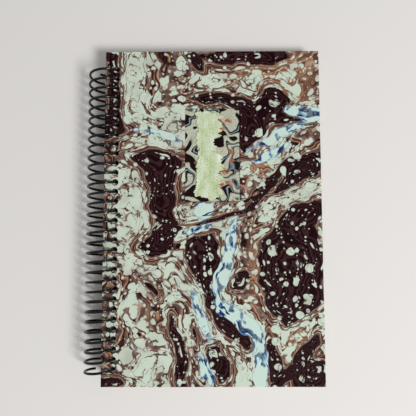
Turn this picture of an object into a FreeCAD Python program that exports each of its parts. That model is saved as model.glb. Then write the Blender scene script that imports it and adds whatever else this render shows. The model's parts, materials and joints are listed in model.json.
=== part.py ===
import FreeCAD, Part
import math
import os
from FreeCAD import Placement, Rotation, Vector

# A coil-bound notebook: two wrapped board covers, a block of leaves and a plastic coil. It is modelled
# level, with the coil's axis along Y at X = 0, Z = 0, the head towards +Y and the fore edge towards +X.
# At the end it is laid on the table, where it rests on the coil and on the back cover's fore edge.
# Lengths are in mm.

# Leaves
page_width = 139.7  # spine edge to fore edge, half letter
page_height = 215.9  # head to tail
page_block_thickness = 8.0

# Cover boards
board_thickness = 2.0
head_square = 1.05  # how far the covers reach past the leaves at the head, and at the tail
fore_square = 1.3  # the same at the fore edge
board_edge_radius = 0.4  # the paper's turn over the board

# Punching and coil
hole_diameter = 4.37  # 11/64 in
hole_margin = 7.4  # spine edge of a sheet to its hole centres
least_end_margin = 8.5  # head of a leaf to its first hole centre, at least
coil_pitch = 6.2865  # 0.2475 in
wire_diameter = 1.6
coil_slack = 6.8  # inside of the coil, over the thickness of the closed book
running_clearance = 0.08  # kept between the wire and a hole's wall
head_end_angle = 188.0  # where the wire ends past the top of the last turn at the head, degrees
tail_end_angle = 145.0  # the same before the top of the first turn at the tail
row_shift = -0.3  # middle of the two covers' hole rows, from the middle of the covers

# Swings, degrees
front_swing = 180.0
back_swing = 24.0

# Label recess in the front cover
recess_width = 36.0
recess_height = 62.0
recess_head_margin = 38.8  # head edge of the cover to the recess
recess_depth = 0.9
recess_rim_radius = 0.25
panel_thickness = 0.3
panel_gap = 0.15  # panel to the recess's wall

# What repeats is drawn with flat sides: the coil as straight chords of a many-sided wire, and the holes
chords_per_turn = 12
wire_sides = 8
hole_sides = 16

touching = 1e-6  # points nearer than this are in one place
section_steps = 18  # points tried on a quarter of the wire's section

# Coil: angles about its axis are measured from straight up, towards the fore edge
book_thickness = page_block_thickness + 2 * board_thickness
coil_radius = (book_thickness + coil_slack + wire_diameter) / 2
lead = coil_pitch / (2 * math.pi)  # advance towards the head for each radian
half_chord = math.pi / chords_per_turn
corner_radius = 2 * coil_radius / (1 + math.cos(half_chord))
chord_rise = corner_radius - coil_radius  # a corner lies this far outside the coil, a chord's middle inside


def wire_x(z):
    """Distance of the wire from the axis, towards the fore edge, at height z."""
    return math.sqrt(coil_radius**2 - z**2)


def wire_angle(z):
    return math.acos(z / coil_radius)


def many_sided(radius, sides):
    """Distance to the corners of the even polygon that has a circle's area."""
    slice_angle = 2 * math.pi / sides
    return radius * math.sqrt(slice_angle / math.sin(slice_angle))


def play(low, high, lean):
    """How far the wire can lie off the middle of a hole along the spine, in a sheet from low to high.
    A level face cuts the wire at a slant, so its section there is an oval, widest across the spine.
    lean is how much the wire advances between the two faces, past what the hole itself does."""
    hole_x = (wire_x(low) + wire_x(high)) / 2
    wall = many_sided(hole_diameter / 2, hole_sides) * math.cos(math.pi / hole_sides)
    wire = many_sided(wire_diameter / 2, wire_sides)
    rooms = []
    for z in (low, high):
        off_middle = abs(wire_x(z) - hole_x) + chord_rise
        for step in range(section_steps):
            angle = math.pi / 2 * step / section_steps
            reach = off_middle + wire / math.sin(wire_angle(z)) * math.cos(angle)
            rooms.append(math.sqrt(wall**2 - reach**2) - wire * math.sin(angle))
    return min(rooms) - lean / 2 - running_clearance


page_face = page_block_thickness / 2  # height of the leaves' faces from the axis
board_face = book_thickness / 2
board_middle = (page_face + board_face) / 2
front_angle = wire_angle(board_middle)
back_angle = math.pi - front_angle

# The holes across the spine: each sheet's holes are centred on the wire that passes through them
board_hole_x = (wire_x(page_face) + wire_x(board_face)) / 2
page_hole_x = (coil_radius + wire_x(page_face)) / 2
board_spine_x = board_hole_x - hole_margin
page_spine_x = page_hole_x - hole_margin
cover_width = page_spine_x + page_width + fore_square - board_spine_x
cover_height = page_height + 2 * head_square

# The holes along the spine. A leaf shifts with the wire that passes through it, so the block leans
# towards the head from its top leaf to its lowest one. A cover that turns travels along the coil, half a
# pitch in half a turn: the block of leaves slides for most of it, and the wire moves in the cover's holes
# for the rest.
leaf_lean = lead * (wire_angle(-page_face) - wire_angle(page_face))
board_lean = lead * (wire_angle(page_face) - wire_angle(board_face))
board_play = play(page_face, board_face, board_lean)
page_play = play(0, page_face, 0)
page_travel = 2 * page_play
front_offset = min(lead * math.radians(front_swing) - page_travel - board_play, board_play)
page_offset = -page_play
back_offset = -lead * math.radians(back_swing) / 2

hole_count = int((page_height - 2 * least_end_margin) / coil_pitch) + 1
row_length = (hole_count - 1) * coil_pitch
row_spread = lead * (back_angle - front_angle) + front_offset - back_offset
front_row = row_shift - row_spread / 2  # middle of each row of holes, from the middle of the covers
back_row = row_shift + row_spread / 2
page_row = front_row + front_offset + lead * (math.pi / 2 - front_angle) - page_offset


def ring_of(centre, right, up, radius, sides):
    """Corners of a many-sided ring about a centre, with a flat side towards right."""
    reach = many_sided(radius, sides)
    corners = []
    for side in range(sides):
        angle = 2 * math.pi * (side + 0.5) / sides
        corners.append(centre + right * (reach * math.cos(angle)) + up * (reach * math.sin(angle)))
    return corners


def closed(points):
    return Part.makePolygon(points + points[:1])


def rectangle(x, width, height):
    """Outline of a sheet that starts at x and is centred along the spine."""
    low, high = -height / 2, height / 2
    return closed([Vector(x, low), Vector(x + width, low), Vector(x + width, high), Vector(x, high)])


def sides_of(x, y, width, height):
    return [("x", x), ("x", x + width), ("y", y), ("y", y + height)]


def punched_sheet(x, width, height, row):
    """Flat face with a row of holes along its spine edge."""
    wires = [rectangle(x, width, height)]
    for i in range(hole_count):
        centre = Vector(x + hole_margin, row - row_length / 2 + i * coil_pitch)
        wires.append(closed(ring_of(centre, Vector(1, 0), Vector(0, 1), hole_diameter / 2, hole_sides)))
    return Part.makeFace(wires, "Part::FaceMakerBullseye")


def edges_at(shape, heights, box):
    """Straight level edges at one of the heights that lie on the outline of a box."""
    found = []
    for edge in shape.Edges:
        ends = [vertex.Point for vertex in edge.Vertexes]
        level = any(all(abs(end.z - height) < touching for end in ends) for height in heights)
        on_outline = any(all(abs(getattr(end, axis) - side) < touching for end in ends) for axis, side in box)
        if len(ends) == 2 and level and on_outline:
            found.append(edge)
    return found


def board(bottom, row):
    """Cover board with soft edges, punched along its spine."""
    sheet = punched_sheet(board_spine_x, cover_width, cover_height, row)
    sheet.translate(Vector(0, 0, bottom))
    shape = sheet.extrude(Vector(0, 0, board_thickness))
    sides = sides_of(board_spine_x, -cover_height / 2, cover_width, cover_height)
    outline = edges_at(shape, [bottom, bottom + board_thickness], sides)
    return shape.makeFillet(board_edge_radius, outline)


recess_x = board_spine_x + (cover_width - recess_width) / 2
recess_y = cover_height / 2 - recess_head_margin - recess_height
recess_floor = board_face - recess_depth


def front_cover():
    """Board with the label recess sunk into its outer face."""
    corner = Vector(recess_x, recess_y, recess_floor)
    shape = board(page_face, front_row).cut(Part.makeBox(recess_width, recess_height, recess_depth, corner))
    rim = edges_at(shape, [board_face], sides_of(recess_x, recess_y, recess_width, recess_height))
    return shape.makeFillet(recess_rim_radius, rim)


def cover_panel():
    """Card panel pasted on the floor of the recess."""
    corner = Vector(recess_x + panel_gap, recess_y + panel_gap, recess_floor)
    return Part.makeBox(recess_width - 2 * panel_gap, recess_height - 2 * panel_gap, panel_thickness, corner)


def back_cover():
    return board(-board_face, back_row)


def page_block():
    """All leaves as one block. It leans along the coil, so that every leaf has the wire alike in its holes."""
    leaf = punched_sheet(page_spine_x, page_width, page_height, page_row)
    leaf.translate(Vector(0, leaf_lean / 2, -page_face))
    return leaf.extrude(Vector(0, -leaf_lean, page_block_thickness))


def coil_point(turn_angle, radius):
    """Point of the helix at an angle that runs on from turn to turn, from the lowest hole of the front cover."""
    y = front_row - row_length / 2 + front_offset + lead * (turn_angle - front_angle)
    return Vector(radius * math.sin(turn_angle), y, radius * math.cos(turn_angle))


def coil_route():
    """Corners of the coil's chords, with its two cut ends. A chord's middle lies at each end of a full turn."""
    start = -math.radians(tail_end_angle)
    end = 2 * math.pi * (hole_count - 1) + math.radians(head_end_angle)

    def corner(number):
        return coil_point((2 * number + 1) * half_chord, corner_radius)

    def on_chord(angle):
        before = math.floor((angle / half_chord - 1) / 2)
        share = (angle / half_chord - 1) / 2 - before
        return corner(before) + (corner(before + 1) - corner(before)) * share

    first = math.floor((start / half_chord - 1) / 2) + 1
    last = math.ceil((end / half_chord - 1) / 2) - 1
    return [on_chord(start)] + [corner(number) for number in range(first, last + 1)] + [on_chord(end)]


def coil():
    """Wire of even section along the route, mitred at each corner."""
    route = coil_route()
    runs = [(b - a).normalize() for a, b in zip(route, route[1:])]
    mitres = [runs[0]] + [a + b for a, b in zip(runs, runs[1:])] + [runs[-1]]
    across = runs[0].cross(Vector(route[0].x, 0, route[0].z)).normalize()
    ring = ring_of(route[0], across.cross(runs[0]), across, wire_diameter / 2, wire_sides)
    faces = [Part.Face(closed(ring))]
    for run, corner, mitre in zip(runs, route[1:], mitres[1:]):
        ahead = [point + run * ((corner - point).dot(mitre) / run.dot(mitre)) for point in ring]
        for side in range(wire_sides):
            other = (side + 1) % wire_sides
            faces.append(Part.Face(closed([ring[side], ring[other], ahead[other], ahead[side]])))
        ring = ahead
    faces.append(Part.Face(closed(ring)))
    shell = Part.makeShell(faces)
    shell.sewShape()
    solid = Part.Solid(shell)
    if solid.Volume < 0:
        solid.reverse()
    return solid


def lying(shapes):
    """Placement that lays the level book on the table, with the origin under the middle of its box."""
    low = shapes["coil"].BoundBox.ZMin
    coil_foot = Vector(corner_radius * math.sin(half_chord), 0, low)
    cover_foot = Vector(board_spine_x + cover_width - board_edge_radius, 0, -board_face)
    tilt = math.atan2(cover_foot.z - coil_foot.z, cover_foot.x - coil_foot.x)
    turn = Placement(Vector(), Rotation(Vector(0, 1, 0), math.degrees(tilt)))
    box = FreeCAD.BoundBox()
    for shape in shapes.values():
        turned = shape.copy()
        turned.Placement = turn
        box.add(turned.optimalBoundingBox(False))
    return Placement(Vector(-box.Center.x, -box.Center.y, -box.ZMin), Rotation()).multiply(turn)


shapes = {
    "front_cover": front_cover(),
    "cover_panel": cover_panel(),
    "page_block": page_block(),
    "back_cover": back_cover(),
    "coil": coil(),
}
rest = lying(shapes)
os.makedirs("parts", exist_ok=True)
for name, shape in shapes.items():
    shape.Placement = rest
    shape.exportStep(f"parts/{name}.step")
    print(name, "valid" if shape.isValid() else "NOT VALID", len(shape.Solids), round(shape.Volume, 1))

axis = rest.multVec(Vector())
print("coil axis", [round(value, 4) for value in axis], "tilt", round(math.degrees(rest.Rotation.Angle), 3))
print("leaves slide", round(page_travel, 4), "for each radian", round(page_travel / math.radians(front_swing), 6))
print("plays", round(board_play, 3), round(page_play, 3), "offsets", round(front_offset, 3), round(back_offset, 3))
middle = Vector(recess_x + recess_width / 2, recess_y + recess_height / 2, recess_floor + panel_thickness)
face = rest.multVec(middle)
up = rest.Rotation.multVec(Vector(0, 0, 1))
print("panel face", [round(value, 4) for value in face], [round(value, 6) for value in up])
print("cover", round(cover_width, 3), "x", round(cover_height, 3), "holes", hole_count)
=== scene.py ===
import json
import math
import random
import bpy
from mathutils import Euler, Matrix, Vector, noise


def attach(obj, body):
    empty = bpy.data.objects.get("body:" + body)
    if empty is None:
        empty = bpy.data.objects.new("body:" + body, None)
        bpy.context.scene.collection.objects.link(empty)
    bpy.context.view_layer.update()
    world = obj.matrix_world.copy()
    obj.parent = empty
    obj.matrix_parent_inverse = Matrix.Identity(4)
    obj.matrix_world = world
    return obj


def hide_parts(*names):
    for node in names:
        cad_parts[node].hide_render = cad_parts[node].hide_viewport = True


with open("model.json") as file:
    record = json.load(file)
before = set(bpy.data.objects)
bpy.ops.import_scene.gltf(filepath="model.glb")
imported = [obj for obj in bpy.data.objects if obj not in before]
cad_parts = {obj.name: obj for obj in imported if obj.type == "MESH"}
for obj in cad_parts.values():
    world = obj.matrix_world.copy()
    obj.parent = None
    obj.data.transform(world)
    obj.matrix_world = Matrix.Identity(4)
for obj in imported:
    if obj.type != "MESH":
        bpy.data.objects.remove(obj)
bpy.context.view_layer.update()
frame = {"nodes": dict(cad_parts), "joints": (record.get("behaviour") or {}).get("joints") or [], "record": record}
print("frame loaded")

mm = 0.001

# The book's own axes: x from the coil's axis to the fore edge, y to the head, z up through the front cover
hinge = next(joint for joint in frame["joints"] if joint["name"] == "front_cover_hinge")
panelFace = next(mount for mount in frame["record"]["mounts"] if mount["name"] == "label_recess")
coilAxis = Vector(hinge["pos_m"])
bookUp = Vector(panelFace["axis"]).normalized()
bookHead = Vector((0, 1, 0))
bookFore = bookHead.cross(bookUp)
bookTurn = Matrix((bookFore, bookHead, bookUp)).transposed()
toRow = Matrix.Translation(coilAxis) @ bookTurn.to_4x4() @ Matrix.Scale(mm, 4)
toBook = toRow.inverted()
tilt = bookTurn.to_euler()


def bookBox(node):
    points = [toBook @ vertex.co for vertex in frame["nodes"][node].data.vertices]
    low = Vector([min(point[i] for point in points) for i in range(3)])
    high = Vector([max(point[i] for point in points) for i in range(3)])
    return low, high


coverLow, coverHigh = bookBox("front_cover")
coverMiddle = (coverLow + coverHigh) / 2
coverHalf = (coverHigh - coverLow) / 2
panelLow, panelHigh = bookBox("cover_panel")


def paint(text):
    channels = [int(text[i : i + 2], 16) / 255 for i in (1, 3, 5)]
    return [c / 12.92 if c <= 0.04045 else ((c + 0.055) / 1.055) ** 2.4 for c in channels] + [1]


def addNode(tree, kind, settings=None, links=None):
    # settings hold properties, values of inputs and a colour ramp's stops
    # links hold sockets, or nodes, which give their first output
    node = tree.nodes.new("ShaderNode" + kind)
    for name, value in (settings or {}).items():
        if name == "stops":
            stops = node.color_ramp.elements
            while len(stops) < len(value):
                stops.new(1)
            for stop, (position, colour) in zip(stops, value):
                stop.position, stop.color = position, paint(colour)
        elif isinstance(name, int) or name in node.inputs:
            node.inputs[name].default_value = paint(value) if isinstance(value, str) else value
        else:
            setattr(node, name, value)
    for name, source in (links or {}).items():
        socket = source.outputs[0] if isinstance(source, bpy.types.Node) else source
        tree.links.new(socket, node.inputs[name])
    return node


def newMaterial(name, settings):
    # the shader's own values are set here, and the book's millimetres are handed on for the pattern
    material = bpy.data.materials.new(name)
    material.use_nodes = True
    tree = material.node_tree
    tree.nodes.clear()
    shader = addNode(tree, "BsdfPrincipled", settings)
    addNode(tree, "OutputMaterial", None, {"Surface": shader})
    coords = addNode(tree, "TexCoord")
    inBook = {"vector_type": "TEXTURE", "Location": coilAxis, "Rotation": tilt, "Scale": (mm, mm, mm)}
    book = addNode(tree, "Mapping", inBook, {"Vector": coords.outputs["Object"]})
    return material, tree, shader, book


def dress(piece, material):
    piece.data.materials.clear()
    piece.data.materials.append(material)


# Marbled paper: inks floated on size and lifted onto the sheet. Pools of dark ink with pale drops, drifted
# masses of pale ink, ochre and brown veins between them, and a blue that shows where the pale ink runs.
# Each pool is x, y from the middle of the cover, half length, half width in mm, turn in degrees, strength.
frontPools = {
    "dark": [
        (26, 106, 22, 4.5, 2, 1.2),
        (-11, 102, 9, 2.5, -50, 1.0),
        (0, 76, 15, 3.5, 0, 0.85),
        (17, 72, 9, 3, -20, 1.1),
        (28, 55, 8, 15, 8, 1.5),
        (42, 74, 6, 13, 12, 1.2),
        (60, 61, 12, 2, 0, 0.9),
        (60, 31, 13, 6, 25, 1.4),
        (43, 17, 16, 2.5, 38, 1.0),
        (61, 3, 13, 6, 10, 1.1),
        (-58, 56, 12, 7, -15, 1.2),
        (-44, 38, 18, 5, -8, 1.2),
        (-33, 17, 7, 19, 2, 1.5),
        (-37, -20, 12, 7, 25, 1.2),
        (-29, -10, 9, 4, 50, 1.0),
        (-6, -28, 10, 13, 0, 1.4),
        (0, -53, 4, 13, 25, 1.4),
        (12, -73, 14, 4, -42, 1.4),
        (17, -44, 6, 4, 40, 1.3),
        (-23, -88, 4, 19, 4, 1.8),
        (-13, -77, 2.5, 9, 5, 1.4),
        (1, -93, 7, 10, 35, 1.3),
        (52, -34, 14, 23, 4, 2.0),
        (46, -60, 7, 8, 0, 1.0),
        (37, -90, 3, 13, 0, 1.6),
        (51, -95, 19, 2.5, 48, 1.4),
        (63, -99, 9, 11, -30, 1.5),
        (-64, -106, 12, 3, 4, 1.1),
        (-42, -45, 8, 1.8, -48, 1.1),
        (-28, 88, 14, 16, 0, 0.1),
        # this pool and the next, along the spine edge under the coil, are partly the paper's dark ink and partly
        # painted shade of the coil
        (-66, 90, 4.5, 14, 0, 1.3),
        (-64, 68, 3.5, 8, 0, 1.0),
        (-3, -4, 19, 1.2, 12, 1.1),
        (12, -1, 12, 1.1, 14, 1.1),
        (4, 4, 18, 1, 16, 0.9),
        (29, 11, 17, 1.4, 50, 1.1),
        (37, 24, 17, 1.2, 44, 1.1),
        (-62, -62, 6, 22, 0, 0.2),
    ],
    "pale": [
        (-52, 84, 9, 18, -8, 1.4),
        (-55, 100, 6, 6, 0, 0.8),
        (2, 89, 15, 4, 14, 0.9),
        (40, 92, 14, 5, 20, 0.9),
        (-36, 59, 17, 7, -14, 1.2),
        (-56, 45, 8, 7, 0, 1.2),
        (-34, 45, 16, 4.5, -8, 1.1),
        (-54, 11, 9, 16, 8, 1.2),
        (57, 69, 13, 4, -12, 1.2),
        (51, 55, 14, 3, 18, 1.1),
        (36, 38, 15, 5, 22, 1.2),
        (30, 46, 5, 4, 0, 1.2),
        (-12, 2, 8, 4.5, 15, 1.3),
        (39, 1, 6, 10, -20, 1.4),
        (60, 15, 13, 4, 14, 1.2),
        (-4, -8, 20, 3, 14, 1.0),
        (-46, -35, 15, 7, -8, 1.1),
        (-60, -10, 7, 13, 0, 0.8),
        (-48, -62, 10, 12, 0, 0.8),
        (-42, -95, 15, 13, 0, 1.2),
        (-22, -42, 5, 12, -8, 1.2),
        (13, -18, 3.2, 10, -8, 1.2),
        (7, -42, 4, 9, -28, 1.2),
        (6, -57, 6, 6, 0, 1.2),
        (19, -69, 8, 4, -45, 1.2),
        (28, -92, 3.2, 16, 3, 1.2),
        (-13, -57, 3.5, 12, 22, 1.6),
        (-5, -72, 5, 8, 0, 1.7),
        (-8, -94, 4, 12, 25, 1.7),
        (-20, -74, 5, 9, 0, 0.9),
        (16, -92, 4, 12, 6, 1.0),
        (58, -72, 15, 4, 40, 1.1),
        (65, -89, 4, 4, 0, 1.2),
        (39, -76, 4, 9, 0, 0.9),
    ],
    "ochre": [
        (54, 95, 22, 9, 15, 1.2),
        (28, 97, 25, 4, 20, 0.9),
        (29, 31, 9, 4.5, 25, 1.6),
        (60, 78, 10, 5, -10, 1.0),
        (-26, 87, 22, 15, 0, 0.45),
        (-35, -13, 10, 2.5, 50, 1.6),
        (40, 47, 18, 2, 27, 0.9),
        (27, -40, 4, 32, 0, 1.0),
        (51, -82, 15, 5, 42, 1.1),
        (-41, -64, 5, 15, 5, 0.7),
        (-45, 46, 13, 1.5, -4, 1.1),
    ],
    "blue": [
        (60, 67, 13, 3.4, -12, 1.1),
        (44, 52, 18, 2.6, 25, 1.0),
        (37, 40, 14, 2.6, 24, 0.9),
        (-33, 52, 17, 2.2, -12, 0.9),
        (-6, 4, 5, 5, 0, 0.9),
        (13, -18, 3, 10, -8, 1.1),
        (6, -42, 4, 9, -25, 1.1),
        (8, -60, 6, 5, -20, 0.9),
        (19, -70, 8, 3.6, -45, 1.0),
        (29, -92, 3.6, 16, 3, 1.1),
        (-9, -64, 3, 13, 22, 1.1),
        (-5, -97, 3.5, 11, 30, 0.9),
        (-8, -9, 14, 2.5, 14, 0.8),
    ],
}
# the back is cut from another part of the sheet: the same inks, laid out crosswise and fitted to its sides
shrink, grow = 0.65, 1.55  # from along to across, and from across to along
backPools = {}
for kind, pools in frontPools.items():
    backPools[kind] = [
        (-shrink * y, grow * x, halfWidth, halfLength, -turn, strength)
        for x, y, halfLength, halfWidth, turn, strength in pools
    ]
marbling = {
    "swirls": [(60, 10), (21, 8), (7, 2.0)],  # size of the swirls and how far they pull the ink, mm
    "bays": 16,  # size of the bays along the edges of the pools, mm
    "drift": 0.6,  # how far the edges of the pools wander: 0 leaves them as laid out
    "paleOnDark": 0.8,  # how much of a dark pool a pale one drives away
    "stretch": 24,  # how far the drops and lines are drawn out along the edges of the pools, mm
    "ripples": 12,  # size of the ripples in the lines, mm
    # the veins follow the depth of the pools: how many there are to a depth of 1, and the inks across each
    "veins": 2.3,
    "veinInks": [
        (0, "taupe"), (0.14, "umber"), (0.22, "brown"), (0.3, "dark"), (0.36, "brown"), (0.43, "ochre"),
        (0.5, "taupe"), (0.58, "brown"), (0.66, "dark"), (0.72, "rust"), (0.8, "sand"), (0.9, "umber"),
        (1, "taupe"),
    ],
    "ochreVeins": 3.91,
    "ochreInks": [
        (0, "ochre"), (0.25, "rust"), (0.34, "umber"), (0.42, "ochre"), (0.6, "ochre"), (0.7, "sand"),
        (0.8, "umber"), (1, "ochre"),
    ],
    # fine lines, in radians to a depth of 1, and long pale threads, each with its shift by the ripples
    "lines": 30,
    "lineShift": 14,
    "threads": 2.2,
    "threadShift": 4,
    "cells": 9,  # size of the pale cells in the blue, mm
    "cellInks": [(0, "navy"), (0.02, "blue"), (0.045, "blue"), (0.07, "haze"), (0.11, "sky"), (1, "pale")],
    # spacing in mm and the share of it that the largest fills: of the blots that run together, and of the
    # round drops on the pools
    "blots": [(10.5, 0.68), (6, 0.64), (3.3, 0.56)],
    "drops": [(8, 0.4), (4.7, 0.38), (2.8, 0.3)],
    "smallest": 0.3,  # the smallest of them beside the largest
    "softEdge": 0.4,  # how soft their edges are, mm
    "dark": "#19060A",
    "poolLine": "#44292B",
    "brown": "#412725",
    "umber": "#614941",
    "taupe": "#826B60",
    "sand": "#A39484",
    "ochre": "#A37A5A",
    "rust": "#8F5B42",
    "pale": "#BFCBBB",
    "stone": "#ADB1A3",
    "navy": "#1B2A50",
    "blue": "#45719C",
    "haze": "#86ADBB",
    "sky": "#BDD4CB",
}
board = {
    "turnIn": 14,  # how far the marbled sheet is turned in round the edge, mm
    "clouds": 14,  # size of the clouds in the lining paper, mm
    "lining": ("#BBB09A", "#CFC6B3"),
    "strands": "#8F8168",
    "relief": 0.03,  # height of the fibres, mm
    "inkStep": 0.6,  # how far the ink and the lining stand up, beside the fibres
    "liningStep": 3,
    "holeStrip": 9,  # strip along the spine where the board shows in the holes, mm
    "margin": 1,  # it keeps this far from the board's edges, mm
    # the board's grey core on the walls of the holes, painted dark as the shade inside them
    "shadedCore": "#3A3532",
    "fibres": 2.2,  # for each mm, coarser than real ones so that they show
}


def inks(stops, paints):
    # a stop names one of the paints or gives a colour of its own
    return [(position, paints.get(ink, ink)) for position, ink in stops]


def layout(tree, ink, pools):
    # adds up the pools of one ink: 0.5 on a pool's edge, and its strength in the middle
    allDepths = 1e4  # mm, far more than the board's thickness
    total = None
    for x, y, halfLength, halfWidth, turn, strength in pools:
        place = {
            "vector_type": "TEXTURE",
            "Location": (x, y, 0),
            "Rotation": (0, 0, math.radians(turn)),
            "Scale": (2 * halfLength, 2 * halfWidth, allDepths),
        }
        spot = addNode(tree, "Mapping", place, {"Vector": ink})
        pool = addNode(tree, "TexGradient", {"gradient_type": "SPHERICAL"}, {"Vector": spot})
        links = {0: pool.outputs["Fac"]}
        if total:
            links[2] = total
        total = addNode(tree, "Math", {"operation": "MULTIPLY_ADD", 1: strength, 2: 0}, links)
    return total


def floatedInk(tree, sheet):
    # Gives the place in the swirled ink, and the one before the smallest swirls, in which drops stay round.
    # On the edges of the board the pattern runs on over the corner.
    across, along, down = addNode(tree, "SeparateXYZ", None, {0: sheet}).outputs
    overSide = addNode(tree, "Math", {"operation": "ADD"}, {0: across, 1: down})
    overEnd = addNode(tree, "Math", {"operation": "ADD"}, {0: along, 1: down})
    ink = addNode(tree, "CombineXYZ", None, {0: overSide, 1: overEnd})
    for size, pull in marbling["swirls"]:
        calm = ink
        swirl = addNode(tree, "TexNoise", {"Scale": 1 / size, "Detail": 1.5}, {"Vector": ink})
        push = {"operation": "SUBTRACT", 1: (0.5, 0.5, 0.5)}
        push = addNode(tree, "VectorMath", push, {0: swirl.outputs["Color"]})
        pushed = {"operation": "MULTIPLY_ADD", 1: (pull, pull, 0)}
        ink = addNode(tree, "VectorMath", pushed, {0: push, 2: ink})
    return ink, calm


def darkAndBrown(tree, depth, ochre, fine):
    # veins follow the edges of the pools, with fine lines between them and on the pools
    veins = []
    for count, stops in (("veins", "veinInks"), ("ochreVeins", "ochreInks")):
        bands = addNode(tree, "Math", {"operation": "MULTIPLY", 1: marbling[count]}, {0: depth})
        bands = addNode(tree, "Math", {"operation": "FRACT"}, {0: bands})
        veins.append(addNode(tree, "ValToRGB", {"stops": inks(marbling[stops], marbling)}, {"Fac": bands}))
    share = addNode(tree, "MapRange", {"From Min": 0.35, "From Max": 1.0}, {"Value": ochre})
    mixed = {0: share, 6: veins[0], 7: veins[1]}
    ground = addNode(tree, "Mix", {"data_type": "RGBA"}, mixed).outputs[2]
    waves = addNode(tree, "Math", {"operation": "MULTIPLY", 1: marbling["lines"]}, {0: depth})
    shifted = {"operation": "MULTIPLY_ADD", 1: marbling["lineShift"]}
    waves = addNode(tree, "Math", shifted, {0: fine, 2: waves})
    waves = addNode(tree, "Math", {"operation": "SINE"}, {0: waves})
    lines = addNode(tree, "MapRange", {"From Min": 0.1, "To Max": 0.7}, {"Value": waves})
    brownLine = {"data_type": "RGBA", 7: marbling["brown"]}
    ground = addNode(tree, "Mix", brownLine, {0: lines, 6: ground}).outputs[2]
    lines = addNode(tree, "MapRange", {"From Min": -0.3, "To Max": 0.6}, {"Value": waves})
    poolInk = {"data_type": "RGBA", 6: marbling["dark"], 7: marbling["poolLine"]}
    poolInk = addNode(tree, "Mix", poolInk, {0: lines}).outputs[2]
    share = addNode(tree, "MapRange", {"From Min": 0.42, "From Max": 0.52}, {"Value": depth})
    return addNode(tree, "Mix", {"data_type": "RGBA"}, {0: share, 6: ground, 7: poolInk}).outputs[2]


def blueInk(tree, ink, shore, fine, ground):
    # pale cells with blue between them, and a broken blue line along the shore
    cells = {"feature": "DISTANCE_TO_EDGE", "Scale": 1 / marbling["cells"]}
    cells = addNode(tree, "TexVoronoi", cells, {"Vector": ink})
    seams = {"From Min": 0.35, "From Max": 0.65, "To Min": -0.25, "To Max": 0.2}
    seams = addNode(tree, "MapRange", seams, {"Value": fine})
    seams = addNode(tree, "Math", {"operation": "ADD"}, {0: cells, 1: seams})
    cellInk = addNode(tree, "ValToRGB", {"stops": inks(marbling["cellInks"], marbling)}, {"Fac": seams})
    share = addNode(tree, "MapRange", {"From Min": 0.44, "From Max": 0.52}, {"Value": shore})
    shoreInk = {"data_type": "RGBA", 6: marbling["blue"]}
    shoreInk = addNode(tree, "Mix", shoreInk, {0: share, 7: cellInk}).outputs[2]
    share = addNode(tree, "MapRange", {"From Min": 0.4, "From Max": 0.48}, {"Value": shore})
    return addNode(tree, "Mix", {"data_type": "RGBA"}, {0: share, 6: ground, 7: shoreInk}).outputs[2]


def paleDrops(tree, depth, drawn, calm):
    # blots drawn out along the flow until they run together, and round drops on the dark pools
    fill = {"From Min": -0.75, "From Max": 0.6, "To Min": 1.05, "To Max": 0.24}
    fill = addNode(tree, "MapRange", fill, {"Value": depth})
    onPool = {"From Min": 0.3, "From Max": 0.5, "To Min": 0.18, "To Max": 0.27}
    onPool = addNode(tree, "MapRange", onPool, {"Value": depth})
    spread = {"From Min": 0.2, "To Min": 0.7, "To Max": 1.25}
    spread = addNode(tree, "MapRange", spread, {"Value": fill})
    drops = None
    for size, share in marbling["blots"] + marbling["drops"]:
        blot = (size, share) in marbling["blots"]
        cells = {"voronoi_dimensions": "3D" if blot else "2D", "Scale": 1 / size}
        cells = addNode(tree, "TexVoronoi", cells, {"Vector": drawn if blot else calm})
        # a cell has its drop where its own chance and the share of filled cells come to more than 1
        chance = addNode(tree, "SeparateColor", None, {0: cells.outputs["Color"]})
        there = addNode(tree, "Math", {"operation": "ADD"}, {0: chance, 1: fill if blot else onPool})
        there = addNode(tree, "MapRange", {"From Min": 1, "From Max": 1.12}, {"Value": there})
        width = {"To Min": marbling["smallest"] * share, "To Max": share}
        width = addNode(tree, "MapRange", width, {"Value": chance.outputs[1]})
        if blot:
            width = addNode(tree, "Math", {"operation": "MULTIPLY"}, {0: width, 1: spread})
        width = addNode(tree, "Math", {"operation": "MULTIPLY"}, {0: width, 1: there})
        edge = {0: width, 1: cells.outputs["Distance"]}
        edge = addNode(tree, "Math", {"operation": "SUBTRACT"}, edge)
        drop = addNode(tree, "MapRange", {"From Max": marbling["softEdge"] / size}, {"Value": edge})
        drops = addNode(tree, "Math", {"operation": "MAXIMUM"}, {0: drops, 1: drop}) if drops else drop
    return drops


def parted(tree, drops, depth, drift, shore, fine):
    # long threads part the pale ink along the flow, and the blue cells keep their seams
    threads = addNode(tree, "Math", {"operation": "MULTIPLY", 1: marbling["threads"]}, {0: depth})
    shifted = {"operation": "MULTIPLY_ADD", 1: marbling["threadShift"]}
    threads = addNode(tree, "Math", shifted, {0: fine, 2: threads})
    threads = addNode(tree, "Math", {"operation": "PINGPONG", 1: 0.5}, {0: threads})
    loose = {"From Min": 0.38, "From Max": 0.6, "To Min": 0.02, "To Max": 0.1}
    loose = addNode(tree, "MapRange", loose, {"Value": drift})
    threads = addNode(tree, "Math", {"operation": "DIVIDE"}, {0: threads, 1: loose})
    whole = addNode(tree, "MapRange", {"From Min": 0.5, "To Min": 0.1}, {"Value": threads})
    drops = addNode(tree, "Math", {"operation": "MULTIPLY"}, {0: drops, 1: whole})
    inBlue = {"From Min": 0.4, "From Max": 0.5, "To Min": 1, "To Max": 0.25}
    inBlue = addNode(tree, "MapRange", inBlue, {"Value": shore})
    return addNode(tree, "Math", {"operation": "MULTIPLY"}, {0: drops, 1: inBlue})


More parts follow.
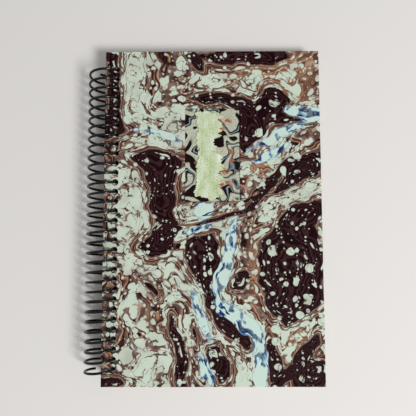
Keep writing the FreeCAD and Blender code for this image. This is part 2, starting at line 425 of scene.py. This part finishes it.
def liningPaper(tree, book):
    # soft clouds, with fibres drawn as coarse as they need to show
    clouds = addNode(tree, "TexNoise", {"Scale": 1 / board["clouds"], "Detail": 3}, {"Vector": book})
    clouded = {"data_type": "RGBA", 6: board["lining"][0], 7: board["lining"][1]}
    colour = addNode(tree, "Mix", clouded, {0: clouds}).outputs[2]
    strands = addNode(tree, "Mapping", {"Scale": (1, 0.25, 1), "Rotation": (0, 0, 0.5)}, {"Vector": book})
    strands = addNode(tree, "TexNoise", {"Scale": 1.1, "Detail": 2, "Distortion": 1}, {"Vector": strands})
    sparse = {"From Min": 0.62, "From Max": 0.7, "To Max": 0.5}
    strands = addNode(tree, "MapRange", sparse, {"Value": strands})
    strandInk = {"data_type": "RGBA", 7: board["strands"]}
    return addNode(tree, "Mix", strandInk, {0: strands, 6: colour}).outputs[2]


def marbledPaper(name, pools, middle, turn, liningSide):
    # matt paper, so almost no sheen; the ink itself stands a hair proud
    material, tree, shader, book = newMaterial(name, {"Roughness": 0.6, "Specular IOR Level": 0.03})
    onSheet = {"vector_type": "TEXTURE", "Location": middle, "Rotation": (0, 0, turn)}
    sheet = addNode(tree, "Mapping", onSheet, {"Vector": book})
    ink, calm = floatedInk(tree, sheet)
    dark, pale, ochre, blue = [layout(tree, ink, pools[kind]) for kind in ("dark", "pale", "ochre", "blue")]
    drift = addNode(tree, "TexNoise", {"Scale": 1 / marbling["bays"], "Detail": 2}, {"Vector": ink})
    wander = {"To Min": -marbling["drift"], "To Max": marbling["drift"]}
    wander = addNode(tree, "MapRange", wander, {"Value": drift})
    # depth rises past 0.5 on the dark pools and falls below 0 in the pale ones
    driven = {"operation": "MULTIPLY_ADD", 1: -marbling["paleOnDark"]}
    depth = addNode(tree, "Math", driven, {0: pale, 2: dark})
    depth = addNode(tree, "Math", {"operation": "ADD"}, {0: depth, 1: wander})
    layers = addNode(tree, "Math", {"operation": "MULTIPLY", 1: marbling["stretch"]}, {0: depth})
    inkX, inkY = addNode(tree, "SeparateXYZ", None, {0: ink}).outputs[:2]
    drawn = addNode(tree, "CombineXYZ", None, {0: inkX, 1: inkY, 2: layers})
    fine = addNode(tree, "TexNoise", {"Scale": 1 / marbling["ripples"], "Detail": 4}, {"Vector": drawn})
    shore = addNode(tree, "MapRange", {"To Min": -0.45, "To Max": 0.45}, {"Value": fine})
    shore = addNode(tree, "Math", {"operation": "ADD"}, {0: blue, 1: shore})

    ground = darkAndBrown(tree, depth, ochre, fine)
    ground = blueInk(tree, ink, shore, fine, ground)
    drops = paleDrops(tree, depth, drawn, calm)
    drops = parted(tree, drops, depth, drift, shore, fine)
    share = addNode(tree, "MapRange", {"From Max": 1.4}, {"Value": blue})
    paleInk = {"data_type": "RGBA", 6: marbling["pale"], 7: marbling["sky"]}
    paleInk = addNode(tree, "Mix", paleInk, {0: share}).outputs[2]
    share = addNode(tree, "MapRange", {"From Min": 0.45, "From Max": 0.7}, {"Value": drift})
    stone = {"data_type": "RGBA", 7: marbling["stone"]}
    paleInk = addNode(tree, "Mix", stone, {0: share, 6: paleInk}).outputs[2]
    marbled = addNode(tree, "Mix", {"data_type": "RGBA"}, {0: drops, 6: ground, 7: paleInk}).outputs[2]

    # inside the cover the marbled sheet is turned in round the edge, and plain lining paper covers the rest
    fromMiddle = addNode(tree, "VectorMath", {"operation": "ABSOLUTE"}, {0: sheet})
    fromMiddle = addNode(tree, "SeparateXYZ", None, {0: fromMiddle})
    side = {"operation": "LESS_THAN", 1: coverHalf.x - board["turnIn"]}
    side = addNode(tree, "Math", side, {0: fromMiddle})
    end = {"operation": "LESS_THAN", 1: coverHalf.y - board["turnIn"]}
    end = addNode(tree, "Math", end, {0: fromMiddle.outputs[1]})
    lined = addNode(tree, "Math", {"operation": "MULTIPLY"}, {0: side, 1: end})
    normal = addNode(tree, "TexCoord").outputs["Normal"]
    facing = {"operation": "DOT_PRODUCT", 1: bookUp * liningSide}
    facing = addNode(tree, "VectorMath", facing, {0: normal}).outputs["Value"]
    inside = addNode(tree, "Math", {"operation": "GREATER_THAN", 1: 0.5}, {0: facing})
    lined = addNode(tree, "Math", {"operation": "MULTIPLY"}, {0: lined, 1: inside})
    lining = liningPaper(tree, book)
    colour = addNode(tree, "Mix", {"data_type": "RGBA"}, {0: lined, 6: marbled, 7: lining}).outputs[2]

    # the holes are punched through the finished board, so their walls show its grey core, painted darker still as
    # the shade inside the holes
    upright = addNode(tree, "Math", {"operation": "ABSOLUTE"}, {0: facing})
    upright = addNode(tree, "Math", {"operation": "LESS_THAN", 1: 0.5}, {0: upright})
    halfStrip = board["holeStrip"] / 2
    strip = {"operation": "COMPARE", 1: coverLow.x + board["margin"] + halfStrip, 2: halfStrip}
    strip = addNode(tree, "Math", strip, {0: addNode(tree, "SeparateXYZ", None, {0: book})})
    end = {"operation": "LESS_THAN", 1: coverHalf.y - board["margin"]}
    end = addNode(tree, "Math", end, {0: fromMiddle.outputs[1]})
    punched = addNode(tree, "Math", {"operation": "MULTIPLY"}, {0: strip, 1: end})
    punched = addNode(tree, "Math", {"operation": "MULTIPLY"}, {0: upright, 1: punched})
    shadedCore = {"data_type": "RGBA", 7: board["shadedCore"]}
    colour = addNode(tree, "Mix", shadedCore, {0: punched, 6: colour}).outputs[2]
    tree.links.new(colour, shader.inputs["Base Color"])
    fibre = addNode(tree, "TexNoise", {"Scale": board["fibres"], "Detail": 3}, {"Vector": book})
    raised = {"operation": "MULTIPLY_ADD", 1: board["inkStep"]}
    relief = addNode(tree, "Math", raised, {0: drops, 2: fibre})
    raised = {"operation": "MULTIPLY_ADD", 1: board["liningStep"]}
    relief = addNode(tree, "Math", raised, {0: lined, 2: relief})
    bump = {"Strength": 0.5, "Distance": board["relief"] * mm}
    bump = addNode(tree, "Bump", bump, {"Height": relief})
    tree.links.new(bump.outputs[0], shader.inputs["Normal"])
    return material


frontMiddle = (coverMiddle.x, 0, coverHigh.z)
dress(frame["nodes"]["front_cover"], marbledPaper("marbledPaperFront", frontPools, frontMiddle, 0, -1))
backMiddle = (coverMiddle.x, 0, -coverHigh.z)
dress(frame["nodes"]["back_cover"], marbledPaper("marbledPaperBack", backPools, backMiddle, math.pi, 1))
print("covers dressed")

# The panel's own paper: vein marbling, broad black veins with a grey-blue heart on stone, flecked with rust
veinPaper = {
    "bends": 12,  # size of the bends in the veins, mm
    "bend": 10,  # how far the veins are bent, mm
    "veins": 15,  # size of the veins, mm
    "flecks": 3.2,  # size of the flecks, mm
    "patches": 13,  # size of the patches that have flecks, mm
    "grain": 0.9,  # size of the paper's grain, mm, coarser than the real one so that it shows
    # the inks across the veins
    "inks": [
        (0, "black"), (0.37, "black"), (0.38, "#B3B6A2"), (0.44, "#C3C5B4"), (0.447, "black"),
        (0.465, "black"), (0.47, "heart"), (0.48, "heart"), (0.485, "black"), (0.505, "black"),
        (0.513, "#BFBDAC"), (0.59, "#B0B6A4"), (0.597, "black"), (0.615, "heart"), (0.62, "black"),
        (0.64, "black"), (0.648, "#B3B3A1"), (1, "#BCBCAB"),
    ],
    "black": "#1A0B0F",
    "heart": "#8398A0",
    "rust": "#A9633F",
    "grainTint": "#A39B8C",
}
# matt paper, so almost no sheen
mattPaper = {"Roughness": 0.6, "Specular IOR Level": 0.05}
panelPaper, tree, shader, book = newMaterial("veinMarbledPaper", mattPaper)
bend = addNode(tree, "TexNoise", {"Scale": 1 / veinPaper["bends"], "Detail": 1}, {"Vector": book})
pull = {"operation": "MULTIPLY_ADD", 1: (veinPaper["bend"], veinPaper["bend"], 0)}
bent = addNode(tree, "VectorMath", pull, {0: bend.outputs["Color"], 2: book})
field = addNode(tree, "TexNoise", {"Scale": 1 / veinPaper["veins"], "Detail": 1.2}, {"Vector": bent})
veins = addNode(tree, "ValToRGB", {"stops": inks(veinPaper["inks"], veinPaper)}, {"Fac": field})
flecks = addNode(tree, "TexNoise", {"Scale": 1 / veinPaper["flecks"], "Detail": 1}, {"Vector": bent})
flecks = addNode(tree, "MapRange", {"From Min": 0.55, "From Max": 0.6}, {"Value": flecks})
patches = addNode(tree, "TexNoise", {"Scale": 1 / veinPaper["patches"], "Detail": 1}, {"Vector": book})
patches = addNode(tree, "MapRange", {"From Min": 0.5, "From Max": 0.56}, {"Value": patches})
flecks = addNode(tree, "Math", {"operation": "MULTIPLY"}, {0: flecks, 1: patches})
colour = addNode(tree, "Mix", {"data_type": "RGBA", 7: veinPaper["rust"]}, {0: flecks, 6: veins}).outputs[2]
grain = addNode(tree, "TexNoise", {"Scale": 1 / veinPaper["grain"], "Detail": 2}, {"Vector": book})
grain = addNode(tree, "MapRange", {"From Min": 0.4, "From Max": 0.7, "To Max": 0.6}, {"Value": grain})
grained = {"data_type": "RGBA", "blend_type": "MULTIPLY", 7: veinPaper["grainTint"]}
colour = addNode(tree, "Mix", grained, {0: grain, 6: colour}).outputs[2]
tree.links.new(colour, shader.inputs["Base Color"])
dress(frame["nodes"]["cover_panel"], panelPaper)
print("panel dressed")

# Leaves: the block's top face, given a leaf's thickness and repeated down through the block
leaves = {
    "count": 60,
    "thickness": 0.115,  # mm
    "looseFit": 0.12,  # how far a leaf may stand in or out at the fore edge, mm
    "seed": 4,
    "fibres": 1.4,  # for each mm, coarser than real ones so that they show
    "relief": 0.02,  # height of the fibres, mm
    "colours": ("#DFDACB", "#EEEADF"),
}


def alone(piece):
    bpy.ops.object.select_all(action="DESELECT")
    piece.select_set(True)
    bpy.context.view_layer.objects.active = piece


def workingCopy(node, name):
    piece = frame["nodes"][node].copy()
    piece.data = frame["nodes"][node].data.copy()
    piece.name = piece.data.name = name
    piece.parent = None
    for key in list(piece.keys()):
        del piece[key]
    bpy.context.scene.collection.objects.link(piece)
    alone(piece)
    return piece


blockLow, blockHigh = bookBox("page_block")
blockPoints = [toBook @ vertex.co for vertex in frame["nodes"]["page_block"].data.vertices]
blockMiddleZ = (blockLow.z + blockHigh.z) / 2
topHead = max(point.y for point in blockPoints if point.z > blockMiddleZ)
lean = blockHigh.y - topHead  # how much nearer the head the bottom leaf lies
stack = workingCopy("page_block", "leaves")
bpy.ops.object.mode_set(mode="EDIT")
bpy.ops.mesh.select_all(action="SELECT")
bpy.ops.mesh.remove_doubles(threshold=1e-6)
bpy.ops.mesh.select_mode(type="FACE")
bpy.ops.mesh.select_all(action="DESELECT")
bpy.ops.object.mode_set(mode="OBJECT")
for face in stack.data.polygons:
    face.select = face.normal.dot(bookUp) < 0.9  # all but the top face
bpy.ops.object.mode_set(mode="EDIT")
bpy.ops.mesh.delete(type="FACE")
bpy.ops.object.mode_set(mode="OBJECT")
leafPoints = len(stack.data.vertices) * 2
solidify = stack.modifiers.new("thickness", "SOLIDIFY")
solidify.thickness = leaves["thickness"] * mm
solidify.offset = -1
bpy.ops.object.modifier_apply(modifier="thickness")
drop = blockHigh.z - blockLow.z - leaves["thickness"]
array = stack.modifiers.new("stack", "ARRAY")
array.count = leaves["count"]
array.use_relative_offset = False
array.use_constant_offset = True
leafStep = Vector((0, lean, -drop)) / (leaves["count"] - 1)
array.constant_offset_displace = bookTurn @ leafStep * mm
bpy.ops.object.modifier_apply(modifier="stack")
random.seed(leaves["seed"])
for number in range(leaves["count"]):
    slip = bookFore * random.uniform(-1, 1) * leaves["looseFit"] * mm
    for vertex in stack.data.vertices[number * leafPoints : (number + 1) * leafPoints]:
        vertex.co += slip
# uncoated paper: dull and slightly warm
uncoated = {"Roughness": 0.9, "Specular IOR Level": 0.2}
leafPaper, tree, shader, book = newMaterial("uncoatedPaper", uncoated)
fibre = addNode(tree, "TexNoise", {"Scale": leaves["fibres"], "Detail": 3}, {"Vector": book})
clouded = {"data_type": "RGBA", 6: leaves["colours"][0], 7: leaves["colours"][1]}
colour = addNode(tree, "Mix", clouded, {0: fibre}).outputs[2]
tree.links.new(colour, shader.inputs["Base Color"])
bump = {"Strength": 0.3, "Distance": leaves["relief"] * mm}
bump = addNode(tree, "Bump", bump, {"Height": fibre})
tree.links.new(bump.outputs[0], shader.inputs["Normal"])
dress(stack, leafPaper)
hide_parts("page_block")
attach(stack, "page_block")
print("leaves stacked", len(stack.data.polygons))

# Coil: round wire wound on the same pitch and radius as the one in the frame
coil = {
    "radius": 10.13,  # to the middle of the wire, mm
    "wire": 1.65,  # mm across
    "sides": 16,  # round the wire
    "pitch": 6.2865,  # mm
    "holes": 32,
    # where the wire ends, in degrees past the top of the last turn at the head and at the tail
    "headEnd": 188,
    "tailEnd": 145,
    "runOn": 28,  # degrees more at the head, so that the cut end shows beside the cover
    "step": 8,  # degrees from one ring of points to the next
    "scuffs": 4,  # size of the rubbed places, mm
    "colours": ("#050405", "#0E0B0E"),
}
coilLow, coilHigh = bookBox("coil")
coilTurn = 360 * (coil["holes"] - 1) + coil["headEnd"] + coil["tailEnd"]
coilStart = (coilLow.y + coilHigh.y - coil["pitch"] * coilTurn / 360) / 2
coilTurn += coil["runOn"]
bpy.ops.object.select_all(action="DESELECT")
bpy.ops.mesh.primitive_circle_add(vertices=coil["sides"], radius=coil["wire"] / 2)
wire = bpy.context.object
wire.name = "coilWire"
start = math.radians(-coil["tailEnd"])
slope = math.atan2(coil["pitch"], 2 * math.pi * coil["radius"])
wire.data.transform(Matrix.Rotation(slope, 4, "X"))
wire.data.transform(Matrix.Translation((coil["radius"], 0, 0)))
wire.data.transform(Matrix.Rotation(math.radians(-90) + start, 4, "Y"))
wire.data.transform(Matrix.Translation((0, coilStart, 0)))
screw = wire.modifiers.new("wind", "SCREW")
screw.axis = "Y"
screw.angle = math.radians(coilTurn)
screw.screw_offset = coil["pitch"] * coilTurn / 360
screw.steps = screw.render_steps = round(coilTurn / coil["step"])
screw.use_merge_vertices = False
bpy.ops.object.modifier_apply(modifier="wind")
bpy.ops.object.mode_set(mode="EDIT")
bpy.ops.mesh.select_all(action="SELECT")
bpy.ops.mesh.fill_holes(sides=0)
bpy.ops.mesh.select_all(action="SELECT")
bpy.ops.mesh.normals_make_consistent(inside=False)
bpy.ops.object.mode_set(mode="OBJECT")
wire.data.transform(toRow)
bpy.ops.object.shade_smooth_by_angle(angle=math.radians(40))
# extruded PVC filament, black: a narrow soft shine along the wire, dulled in places by rubbing
pvc = {"IOR": 1.53, "Specular IOR Level": 0.35}
extrudedPvc, tree, shader, book = newMaterial("extrudedPvc", pvc)
scuff = addNode(tree, "TexNoise", {"Scale": 1 / coil["scuffs"], "Detail": 3}, {"Vector": book})
rubbed = {"data_type": "RGBA", 6: coil["colours"][0], 7: coil["colours"][1]}
colour = addNode(tree, "Mix", rubbed, {0: scuff}).outputs[2]
tree.links.new(colour, shader.inputs["Base Color"])
dulled = addNode(tree, "MapRange", {"To Min": 0.08, "To Max": 0.22}, {"Value": scuff})
tree.links.new(dulled.outputs[0], shader.inputs["Roughness"])
dress(wire, extrudedPvc)
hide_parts("coil")
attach(wire, "coil")
print("coil wound", len(wire.data.polygons))

# A pale smear of plaster-like paste down the panel: a grid pulled to torn edges and lumpy on top
stroke = {
    "width": 15.5,  # all lengths in mm
    "height": 57,
    "across": -3.2,  # from the middle of the panel
    "grid": (70, 230),  # faces across and along
    # narrower a little above the middle, in shares of the width and the height
    "waist": {"narrower": 0.2, "at": 0.12, "length": 0.2},
    # how ragged the edge is towards the coil and towards the fore edge, with the strength, length and place
    # in the noise of each of its wanders and tears
    "ragged": {-1: 1.56, 1: 3.9},
    "tears": [(1.3, 15, 9.1, 0.3), (1, 4.5, 3.7, 5.1), (0.9, 1.5, 5.3, 2.2), (0.4, 0.6, 1, 7)],
    # the same for the two ends: strength, length across, waves along and place
    "ends": [(2.4, 4, 3, 8.8), (0.8, 1.1, 1, 1.8)],
    # drag marks on top: strength, width, length and place
    "drags": [(0.3, 0.9, 14, 0), (0.9, 5, 9, 4)],
    "thickness": 0.5,
    # the top: its height at the rim, its rise, its lip and its lumps, in shares of the thickness
    "low": 0.2,
    "rise": 0.7,
    "lip": 0.45,
    "lumps": 0.6,
    "thinnest": 0.03,
    "shell": 0.06,  # thickness of the skin under that top
    "smears": (0.3, 0.15, 0.3),  # for each mm across, along and up
    # colours from low to high: the green at the bottom is painted shade and the near white at the top a painted
    # highlight, about the paste's own pale green
    "inks": [(0.3, "#A3B883"), (0.42, "#B6C69B"), (0.55, "#C5D0B1"), (0.68, "#D0D8C1"), (0.8, "#E4E9DE")],
    "pits": "#D2CDC4",
    "relief": 0.4,  # height of its finest lumps
}
panelMiddle = (panelLow + panelHigh) / 2
bpy.ops.object.select_all(action="DESELECT")
gridX, gridY = stroke["grid"]
bpy.ops.mesh.primitive_grid_add(x_subdivisions=gridX, y_subdivisions=gridY, size=1)
paste = bpy.context.object
paste.name = "panelStroke"


def rough(x, y, z):
    return noise.noise(Vector((x, y, z)))


waist = stroke["waist"]
for vertex in paste.data.vertices:
    across, along = vertex.co.x + 0.5, vertex.co.y
    y = along * stroke["height"]
    narrowed = 1 - waist["narrower"] * math.exp(-(((along - waist["at"]) / waist["length"]) ** 2))
    edges = []
    for side in (-1, 1):
        torn = sum(pull * rough(i * side, y / length, j) for pull, length, i, j in stroke["tears"])
        edges.append(side * stroke["width"] / 2 * narrowed + stroke["ragged"][side] * torn)
    x = edges[0] + (edges[1] - edges[0]) * across
    torn = sum(pull * rough(x / length, along * i, j) for pull, length, i, j in stroke["ends"])
    y += torn * abs(2 * along) ** 3
    # the rim is 1/16 of the width and 1/50 of the height, with the lip halfway across it
    rim = min(1, min(across, 1 - across) * 16, (0.5 - abs(along)) * 50)
    lip = max(0, 1 - abs(rim - 0.5) * 2.2) * stroke["lip"]
    drag = sum(pull * rough(x / wide, y / length, j) for pull, wide, length, j in stroke["drags"])
    height = stroke["low"] + stroke["rise"] * rim**0.5 + lip + stroke["lumps"] * drag * rim
    height = max(stroke["thickness"] * height, stroke["thinnest"])
    place = Vector((panelMiddle.x + stroke["across"] + x, panelMiddle.y + y, panelHigh.z + height))
    vertex.co = toRow @ place
solidify = paste.modifiers.new("body", "SOLIDIFY")
solidify.thickness = stroke["shell"] * mm
solidify.offset = -1
bpy.ops.object.modifier_apply(modifier="body")
bpy.ops.object.shade_smooth_by_angle(angle=math.radians(50))
# dried paste: chalky and matt, in its own pale green; by height it is painted greener and darker as shade where it
# lies low, and near white as a painted highlight on its ridges
chalk = {"Roughness": 0.75, "Specular IOR Level": 0.2}
driedPaste, tree, shader, book = newMaterial("driedPaste", chalk)
smears = addNode(tree, "Mapping", {"Scale": stroke["smears"]}, {"Vector": book})
smears = addNode(tree, "TexNoise", {"Scale": 1, "Detail": 4}, {"Vector": smears})
up = addNode(tree, "SeparateXYZ", None, {0: book}).outputs[2]
# painted shade low on the paste and painted highlight on its ridges, read from the height above the panel
body = {"From Min": panelHigh.z + 0.15, "From Max": panelHigh.z + 0.8, "To Max": 0.6}
body = addNode(tree, "MapRange", body, {"Value": up})
body = addNode(tree, "Math", {"operation": "MULTIPLY_ADD", 1: 0.5}, {0: smears, 2: body})
colour = addNode(tree, "ValToRGB", {"stops": stroke["inks"]}, {"Fac": body})
grit = addNode(tree, "TexNoise", {"Scale": 1, "Detail": 3}, {"Vector": book})
pits = addNode(tree, "MapRange", {"From Min": 0.5, "From Max": 0.7, "To Max": 0.7}, {"Value": grit})
pitted = {"data_type": "RGBA", "blend_type": "MULTIPLY", 7: stroke["pits"]}
colour = addNode(tree, "Mix", pitted, {0: pits, 6: colour}).outputs[2]
tree.links.new(colour, shader.inputs["Base Color"])
relief = addNode(tree, "Math", {"operation": "SUBTRACT"}, {0: smears, 1: grit})
bump = {"Strength": 1, "Distance": stroke["relief"] * mm}
bump = addNode(tree, "Bump", bump, {"Height": relief})
tree.links.new(bump.outputs[0], shader.inputs["Normal"])
dress(paste, driedPaste)
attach(paste, "front_cover")
print("stroke brushed", len(paste.data.polygons))

# Camera: over the book, a little below its middle
lens = {
    "focal": 34.88,  # mm
    "sensor": 36,  # mm
    "nearest": 5,  # the nearest that it sees, mm
    "place": (-1.92, -14.86, 260.94),  # mm from the front cover's top face
    "turn": (4.142, 0.239, -0.147),  # degrees
}
coverTop = Vector((coverMiddle.x, 0, coverHigh.z))
camera = bpy.data.objects.new("camera", bpy.data.cameras.new("camera"))
bpy.context.scene.collection.objects.link(camera)
camera.data.lens = lens["focal"]
camera.data.sensor_width = lens["sensor"]
camera.data.clip_start = lens["nearest"] * mm
turn = Euler([math.radians(angle) for angle in lens["turn"]]).to_matrix()
eye = toRow @ (coverTop + Vector(lens["place"]))
camera.matrix_world = Matrix.Translation(eye) @ (bookTurn @ turn).to_4x4()
bpy.context.scene.camera = camera

# Floor and soft light
studio = {
    "floor": 3,  # m
    "paint": "#D9D6D3",
    "ambient": 0.42,
    "lampPlace": (1.0, -0.8, 1.35),  # m
    "lampSize": 0.5,  # m
    "lampPower": 31,  # W
}
bpy.ops.object.select_all(action="DESELECT")
bpy.ops.mesh.primitive_plane_add(size=studio["floor"])
floor = bpy.context.object
floor.name = "floor"
dress(floor, newMaterial("floorPaint", {"Base Color": studio["paint"], "Roughness": 0.9})[0])

world = bpy.data.worlds.new("studio")
bpy.context.scene.world = world
world.use_nodes = True
world.node_tree.nodes["Background"].inputs["Color"].default_value = (1, 1, 1, 1)
world.node_tree.nodes["Background"].inputs["Strength"].default_value = studio["ambient"]
bpy.ops.object.light_add(type="AREA", location=studio["lampPlace"])
lamp = bpy.context.object
lamp.data.size = studio["lampSize"]
lamp.data.energy = studio["lampPower"]
lamp.rotation_euler = (-lamp.location).to_track_quat("-Z", "Y").to_euler()
bpy.context.scene.view_settings.view_transform = "Standard"
print("scene lit")
